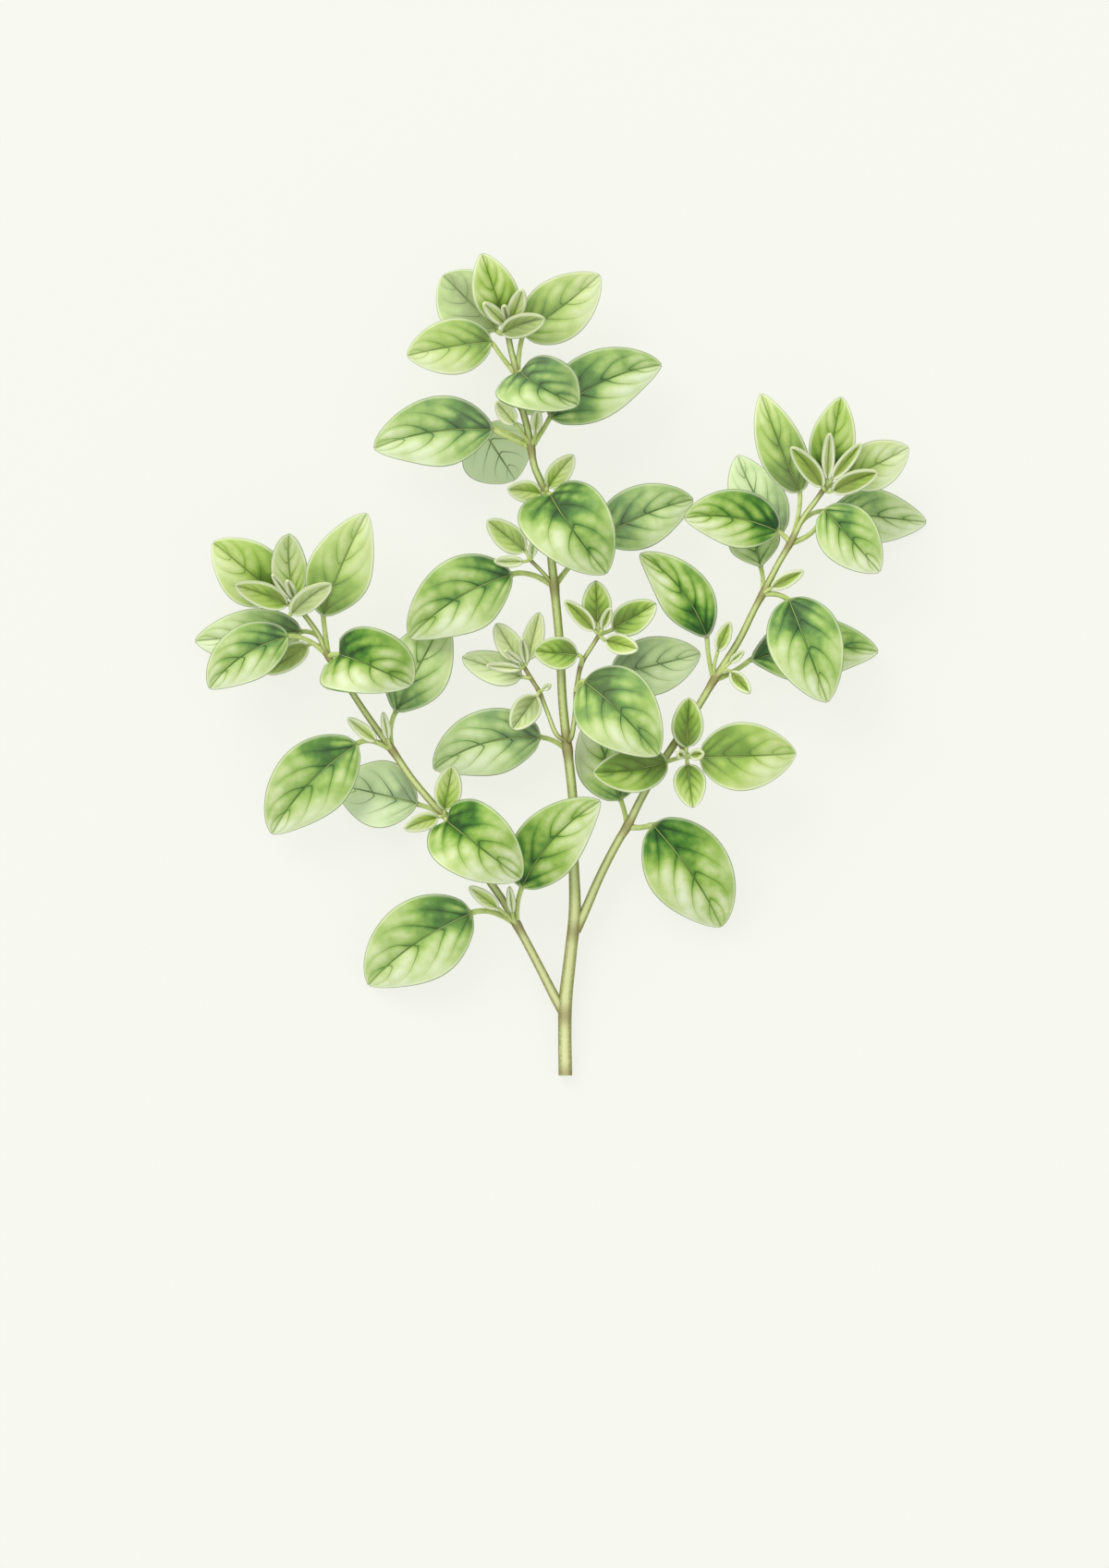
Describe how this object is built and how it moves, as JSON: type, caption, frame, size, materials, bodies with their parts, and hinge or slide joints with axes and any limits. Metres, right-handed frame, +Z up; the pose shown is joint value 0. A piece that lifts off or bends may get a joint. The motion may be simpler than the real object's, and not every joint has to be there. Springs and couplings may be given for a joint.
{
  "type": "marjoram sprig",
  "caption": "Cut sprig of sweet marjoram lying flat: a square main stem, two side branches and short leafy shoots, with ovate leaves in opposite pairs.",
  "frame": {"origin": "on the surface that the sprig lies on, under the middle of its length and width", "axes": "+Z up off the surface, +Y the way the sprig grows, from its cut end to its top"},
  "size_m": [0.1329, 0.1481, 0.0234],
  "materials": {
    "main_stem_leaf": "matte",
    "branch_leaf": "matte",
    "young_leaf": "matte",
    "pale_leaf": "matte"
  },
  "bodies": {
    "root": {"main_stem": "main_stem_leaf", "left_branch": "branch_leaf", "right_branch": "branch_leaf", "front_shoot": "young_leaf", "right_shoot": "branch_leaf", "left_shoot": "pale_leaf"}
  },
  "joints": []
}
